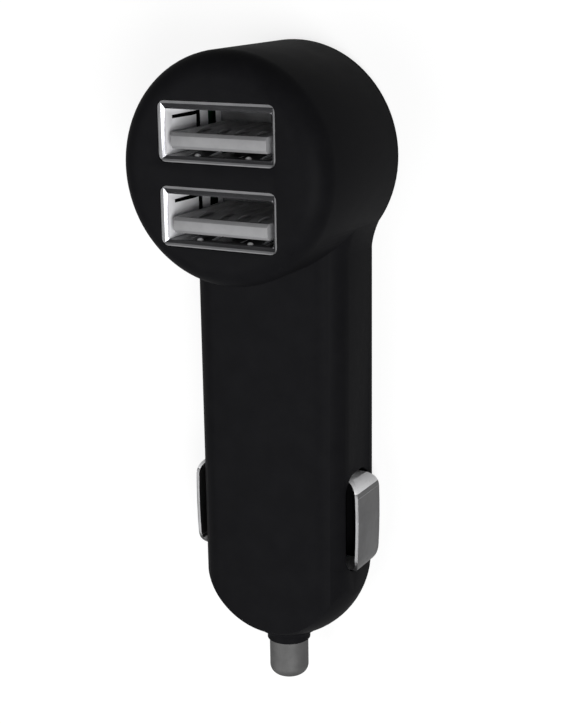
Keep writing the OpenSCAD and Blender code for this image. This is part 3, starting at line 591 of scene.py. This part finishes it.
def coil_tree():
    """Wire wound in layers, up and down; the first and last turns of a layer may lie closer."""
    tree, gin, gout = start_tree("wound_wire", Radius=0.002, Wire=0.0005, Turns=5.0, Layers=1, Steps=24,
                                 Closed=0.0, Close=0.0, Open=0.001, Place=Vector(), Turn=Vector())
    g = gin.outputs

    def calc(operation, a, b=None, c=None):
        return math_node(tree, operation, a, b, c)

    count = calc("ADD", calc("MULTIPLY", calc("MULTIPLY", g["Turns"], g["Layers"]), g["Steps"]), 1)
    line = add(tree, "GeometryNodeMeshLine")
    tree.links.new(count, line.inputs["Count"])
    index = add(tree, "GeometryNodeInputIndex").outputs[0]
    turn = calc("DIVIDE", index, g["Steps"])
    last = calc("SUBTRACT", g["Layers"], 1)
    layer = calc("MINIMUM", calc("FLOOR", calc("DIVIDE", turn, g["Turns"])), last)
    inside = calc("SUBTRACT", turn, calc("MULTIPLY", layer, g["Turns"]))
    far = calc("SUBTRACT", g["Turns"], g["Closed"])
    low = calc("MULTIPLY", calc("MINIMUM", inside, g["Closed"]), g["Close"])
    middle = calc("MAXIMUM", calc("SUBTRACT", calc("MINIMUM", inside, far), g["Closed"]), 0)
    high = calc("MULTIPLY", calc("MAXIMUM", calc("SUBTRACT", inside, far), 0), g["Close"])
    rise = calc("ADD", calc("MULTIPLY_ADD", middle, g["Open"], low), high)
    whole = calc("MULTIPLY_ADD", calc("SUBTRACT", far, g["Closed"]), g["Open"],
                 calc("MULTIPLY", calc("MULTIPLY", g["Closed"], g["Close"]), 2))
    back = calc("MODULO", layer, 2)
    level = calc("ADD", calc("MULTIPLY", rise, calc("SUBTRACT", 1, back)),
                 calc("MULTIPLY", calc("SUBTRACT", whole, rise), back))
    radius = calc("MULTIPLY_ADD", layer, g["Wire"], g["Radius"])
    angle = calc("MULTIPLY", turn, math.tau)
    place = add(tree, "ShaderNodeCombineXYZ")
    tree.links.new(calc("MULTIPLY", radius, calc("COSINE", angle)), place.inputs[0])
    tree.links.new(calc("MULTIPLY", radius, calc("SINE", angle)), place.inputs[1])
    tree.links.new(level, place.inputs[2])
    wind = add(tree, "GeometryNodeSetPosition")
    tree.links.new(line.outputs["Mesh"], wind.inputs["Geometry"])
    tree.links.new(place.outputs[0], wind.inputs["Position"])
    path = add(tree, "GeometryNodeMeshToCurve")
    tree.links.new(wind.outputs[0], path.inputs["Mesh"])
    round_wire = add(tree, "GeometryNodeCurvePrimitiveCircle")
    round_wire.inputs["Resolution"].default_value = 10
    tree.links.new(calc("MULTIPLY", g["Wire"], 0.5), round_wire.inputs["Radius"])
    sweep = add(tree, "GeometryNodeCurveToMesh")
    sweep.inputs["Fill Caps"].default_value = True
    tree.links.new(path.outputs[0], sweep.inputs["Curve"])
    tree.links.new(round_wire.outputs[0], sweep.inputs["Profile Curve"])
    put = add(tree, "GeometryNodeTransform")
    tree.links.new(sweep.outputs[0], put.inputs["Geometry"])
    tree.links.new(g["Place"], put.inputs["Translation"])
    tree.links.new(g["Turn"], put.inputs["Rotation"])
    close_tree(tree, gin, gout, put.outputs[0])
    return tree


def joint_tree():
    """Small hollow-sided cone of solder at each point."""
    tree, gin, gout = start_tree("solder_joints", Foot=0.0005, Top=0.00025, Height=0.0005, Turn=Vector())
    cone = add(tree, "GeometryNodeMeshCone")
    cone.inputs["Vertices"].default_value = 16
    cone.inputs["Side Segments"].default_value = 5
    for label, socket in (("Foot", "Radius Bottom"), ("Top", "Radius Top"), ("Height", "Depth")):
        tree.links.new(gin.outputs[label], cone.inputs[socket])
    at = add(tree, "GeometryNodeInputPosition").outputs[0]
    split = add(tree, "ShaderNodeSeparateXYZ")
    tree.links.new(at, split.inputs[0])
    up = math_node(tree, "DIVIDE", split.outputs["Z"], gin.outputs["Height"])
    swell = math_node(tree, "SINE", math_node(tree, "MULTIPLY", up, math.pi))
    pull = math_node(tree, "MULTIPLY", swell, -0.28)
    along = add(tree, "ShaderNodeVectorMath", operation="MULTIPLY")
    along.inputs[1].default_value = (1, 1, 0)
    tree.links.new(at, along.inputs[0])
    move = add(tree, "ShaderNodeVectorMath", operation="SCALE")
    tree.links.new(along.outputs[0], move.inputs[0])
    tree.links.new(pull, move.inputs["Scale"])
    hollow = add(tree, "GeometryNodeSetPosition")
    tree.links.new(cone.outputs["Mesh"], hollow.inputs["Geometry"])
    tree.links.new(move.outputs[0], hollow.inputs["Offset"])
    spots = add(tree, "GeometryNodeInstanceOnPoints")
    tree.links.new(gin.outputs["Geometry"], spots.inputs["Points"])
    tree.links.new(hollow.outputs[0], spots.inputs["Instance"])
    tree.links.new(gin.outputs["Turn"], spots.inputs["Rotation"])
    close_tree(tree, gin, gout, spots.outputs[0])
    return tree


# Tip spring, in millimetres: wire, gap between closed turns, gap to the terminal; and its turns
SPRING_WIRE, TURN_GAP, COIL_GAP = 0.45, 0.03, 0.03
SPRING_TURNS, CLOSED_TURNS = 5.5, 0.75


def make_spring(tree):
    """Compression spring between the terminal and the pin's flange, with closed ends."""
    low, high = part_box("tip_spring")
    radius = (high[0] - low[0]) / MM / 2 - SPRING_WIRE / 2
    top_y = high[1] / MM
    length = (high[1] - low[1]) / MM
    close = SPRING_WIRE + TURN_GAP
    rise = (length - SPRING_WIRE - 2 * CLOSED_TURNS * close) / (SPRING_TURNS - 2 * CLOSED_TURNS)
    spring = grow(tree, "plunger_spring", [(0, 0, 0)], WIRE, Radius=radius * MM, Wire=SPRING_WIRE * MM,
                  Turns=SPRING_TURNS, Closed=CLOSED_TURNS, Close=close * MM, Open=rise * MM,
                  Place=(0, (top_y - SPRING_WIRE / 2) * MM, AXIS_Z * MM), Turn=(math.pi / 2, 0, 0))
    settle(spring, ["tip_spring"])
    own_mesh(spring)


# Winding of the choke: its wire in millimetres, its layers, and the turns in each
CHOKE_WIRE, CHOKE_LAYERS, CHOKE_TURNS = 0.28, 5, 4.0


def make_choke(tree):
    """Lacquered wire wound in layers on the ferrite core."""
    low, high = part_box("choke_winding")
    first = high[0] / MM - (CHOKE_LAYERS - 0.5) * CHOKE_WIRE
    middle = (low[1] + high[1]) / 2
    rise = (high[2] - low[2]) / MM - CHOKE_WIRE
    winding = grow(tree, "choke_wire", [(0, 0, 0)], COPPER, Radius=first * MM, Wire=CHOKE_WIRE * MM,
                   Turns=CHOKE_TURNS, Layers=CHOKE_LAYERS, Open=rise / CHOKE_TURNS * MM,
                   Place=(0, middle, low[2] + CHOKE_WIRE / 2 * MM))
    settle(winding, ["choke_winding"])
    eased_copy("choke_core", "choke_ferrite", 0.06)


# Capacitor cans, in millimetres
CAN_L = 8.0
LEAD_R = 0.25
LEAD_OFFSET = 0.92
LEAD_SUNK = 0.3


def make_can(node, name):
    """Capacitor with a sleeved can, a rolled-in groove at its seal and two leads."""
    low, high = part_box(node)
    radius = (high[0] - low[0]) / MM / 2
    middle = (low[0] + high[0]) / MM / 2
    axis_z = (low[2] + high[2]) / MM / 2
    top = high[1] / MM
    lead_end = low[1] / MM
    foot = top - CAN_L
    body = [(0, 0.15), (radius - 0.75, 0.15), (radius - 0.5, 0), (radius - 0.2, 0), (radius, 0.2),
            (radius, 0.8), (radius - 0.12, 0.95), (radius - 0.18, 1.1), (radius - 0.12, 1.25),
            (radius, 1.4), (radius, CAN_L - 0.3), (radius - 0.12, CAN_L - 0.06), (radius - 0.4, CAN_L),
            (radius - 0.5, CAN_L - 0.1), (0, CAN_L - 0.1)]
    form = bmesh.new()
    lathe(form, body, (middle, foot, axis_z), lambda n: 1 if n < 4 or n > 11 else 0)
    root = foot - lead_end + LEAD_SUNK
    rod = [(0, 0), (LEAD_R * 0.7, 0.03), (LEAD_R, 0.1), (LEAD_R, root), (0, root)]
    for side in (-LEAD_OFFSET, LEAD_OFFSET):
        lathe(form, rod, (middle + side, lead_end, axis_z), lambda n: 2, steps=16)
    can = add_piece(name, form, [SLEEVE, CAN, SOLDER])
    can.data.set_sharp_from_angle(angle=math.radians(50))
    settle(can, [node])


# A face of a side contact that looks further towards the head than this gets a painted highlight
HIGHLIGHT_TILT = 0.3


def make_leaf(node, name, body):
    """Side contact with a painted highlight on its upper bend."""
    leaf = eased(node, name, 0.1)
    # Faces that look towards the head get the pale copy, a painted highlight
    leaf.data.materials.append(HIGHLIGHT_METAL)
    for face in leaf.data.polygons:
        if face.normal.y > HIGHLIGHT_TILT:
            face.material_index = 1
    settle(leaf, [node], body)


# Soldered places, in millimetres
STRIP_T = 0.25
CAN_X = 4.6
LEAD_JOINT_DROP = 30.2
JOINT_TOP = 0.3


def make_solder(tree):
    """Joints of the contacts' tails under the board and of the cans' leads on it."""
    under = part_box("circuit_board")[0][2]
    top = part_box("circuit_board")[1][2]
    tails = []
    for port in ("upper", "lower"):
        for count in range(1, 5):
            low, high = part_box("%s_contact_%d" % (port, count))
            tails.append(((low[0] + high[0]) / 2, low[1] + STRIP_T / 2 * MM, under))
    rear = grow(tree, "tail_joints", tails, SOLDER, Foot=0.55 * MM, Top=JOINT_TOP * MM, Height=0.55 * MM,
                Turn=(math.pi, 0, 0))
    settle(rear, [])
    feet = []
    for side in (-1, 1):
        for lead in (-LEAD_OFFSET, LEAD_OFFSET):
            feet.append(at_drop(side * CAN_X + lead, LEAD_JOINT_DROP, top / MM))
    front = grow(tree, "lead_joints", feet, SOLDER, Foot=0.6 * MM, Top=JOINT_TOP * MM, Height=0.5 * MM)
    settle(front, [])


# Floor: half its width in metres, its own colour, how light it looks near by and in a mirror
FLOOR_SIZE = 3
FLOOR_WHITE = 0.2
FLOOR_GLOW = 0.82
FLOOR_SHEEN = 0.3
# Distances between which the floor turns fully white, in metres
FLOOR_NEAR = 0.1
FLOOR_FAR = 0.5


def lay_floor():
    """Pale floor that keeps the shadow and fades to white further out."""
    mesh = bpy.data.meshes.new("floor")
    corners = [(x * FLOOR_SIZE, y * FLOOR_SIZE, 0) for x, y in ((-1, -1), (1, -1), (1, 1), (-1, 1))]
    mesh.from_pydata(corners, [], [(0, 1, 2, 3)])
    floor = bpy.data.objects.new("floor", mesh)
    bpy.context.collection.objects.link(floor)
    material, tree, shader = start_material("white_table", specular=0.1)
    shader.inputs["Base Color"].default_value = (FLOOR_WHITE, FLOOR_WHITE, FLOOR_WHITE, 1)
    shader.inputs["Roughness"].default_value = 0.9
    path = add(tree, "ShaderNodeLightPath")
    mirrored = math_node(tree, "MAXIMUM", path.outputs["Is Glossy Ray"], path.outputs["Is Transmission Ray"])
    reach = add(tree, "ShaderNodeVectorMath", operation="LENGTH")
    tree.links.new(add(tree, "ShaderNodeTexCoord").outputs["Object"], reach.inputs[0])
    far = add(tree, "ShaderNodeMapRange")
    far.inputs["From Min"].default_value, far.inputs["From Max"].default_value = FLOOR_NEAR, FLOOR_FAR
    far.inputs["To Min"].default_value, far.inputs["To Max"].default_value = FLOOR_GLOW, 1
    tree.links.new(reach.outputs["Value"], far.inputs["Value"])
    seen = math_node(tree, "MULTIPLY", path.outputs["Is Camera Ray"], far.outputs[0])
    seen = math_node(tree, "MULTIPLY_ADD", mirrored, FLOOR_SHEEN, seen)
    shader.inputs["Emission Color"].default_value = (1, 1, 1, 1)
    tree.links.new(seen, shader.inputs["Emission Strength"])
    mesh.materials.append(material)


def area_light(name, place, size, power):
    """Square soft light that looks at the part; metres and watts."""
    data = bpy.data.lights.new(name, "AREA")
    data.shape = "RECTANGLE"
    data.size = data.size_y = size
    data.energy = power
    light = bpy.data.objects.new(name, data)
    bpy.context.collection.objects.link(light)
    light.location = place
    light.rotation_euler = (LIT_POINT - Vector(place)).to_track_quat("-Z", "Y").to_euler()


# Strength of the room's light, and what mirrors see of it on top
ROOM_LIGHT = 0.06
ROOM_SHEEN = 0.08
LIT_POINT = Vector((0, 0.01, 0))


def light_studio():
    """Two soft lights and a white room behind."""
    world = bpy.data.worlds.new("studio")
    bpy.context.scene.world = world
    world.use_nodes = True
    tree = world.node_tree
    back = tree.nodes["Background"]
    back.inputs["Color"].default_value = (1, 1, 1, 1)
    path = add(tree, "ShaderNodeLightPath")
    mirrored = math_node(tree, "MAXIMUM", path.outputs["Is Glossy Ray"], path.outputs["Is Transmission Ray"])
    level = math_node(tree, "MULTIPLY_ADD", mirrored, ROOM_SHEEN, ROOM_LIGHT)
    level = math_node(tree, "MAXIMUM", level, path.outputs["Is Camera Ray"])
    tree.links.new(level, back.inputs["Strength"])
    area_light("front", (-0.26, -0.17, 0.5), 0.5, 2.3)
    area_light("right", (0.36, -0.1, 0.42), 0.3, 3.2)


aim_camera()
finish_cad_nodes()
eased_copy("housing", "front_shell", 0.06)
eased_copy("rear_cover", "back_shell", 0.06)
for port in ("upper", "lower"):
    make_port(port)
make_leaf("right_side_contact", "right_contact_leaf", "right_contact")
make_leaf("left_side_contact", "left_contact_leaf", "left_contact")
eased_copy("tip_pin", "tip_plunger", 0.06, "pin")
wound_wire = coil_tree()
make_spring(wound_wire)
make_choke(wound_wire)
make_solder(joint_tree())
make_can("input_capacitor", "input_can")
make_can("output_capacitor", "output_can")
eased_copy("tip_terminal", "tip_bracket", 0.05)
eased_copy("control_chip", "controller", 0.04)
eased_copy("diode", "power_diode", 0.05)
lay_floor()
light_studio()

bpy.context.scene.view_settings.view_transform = "Standard"
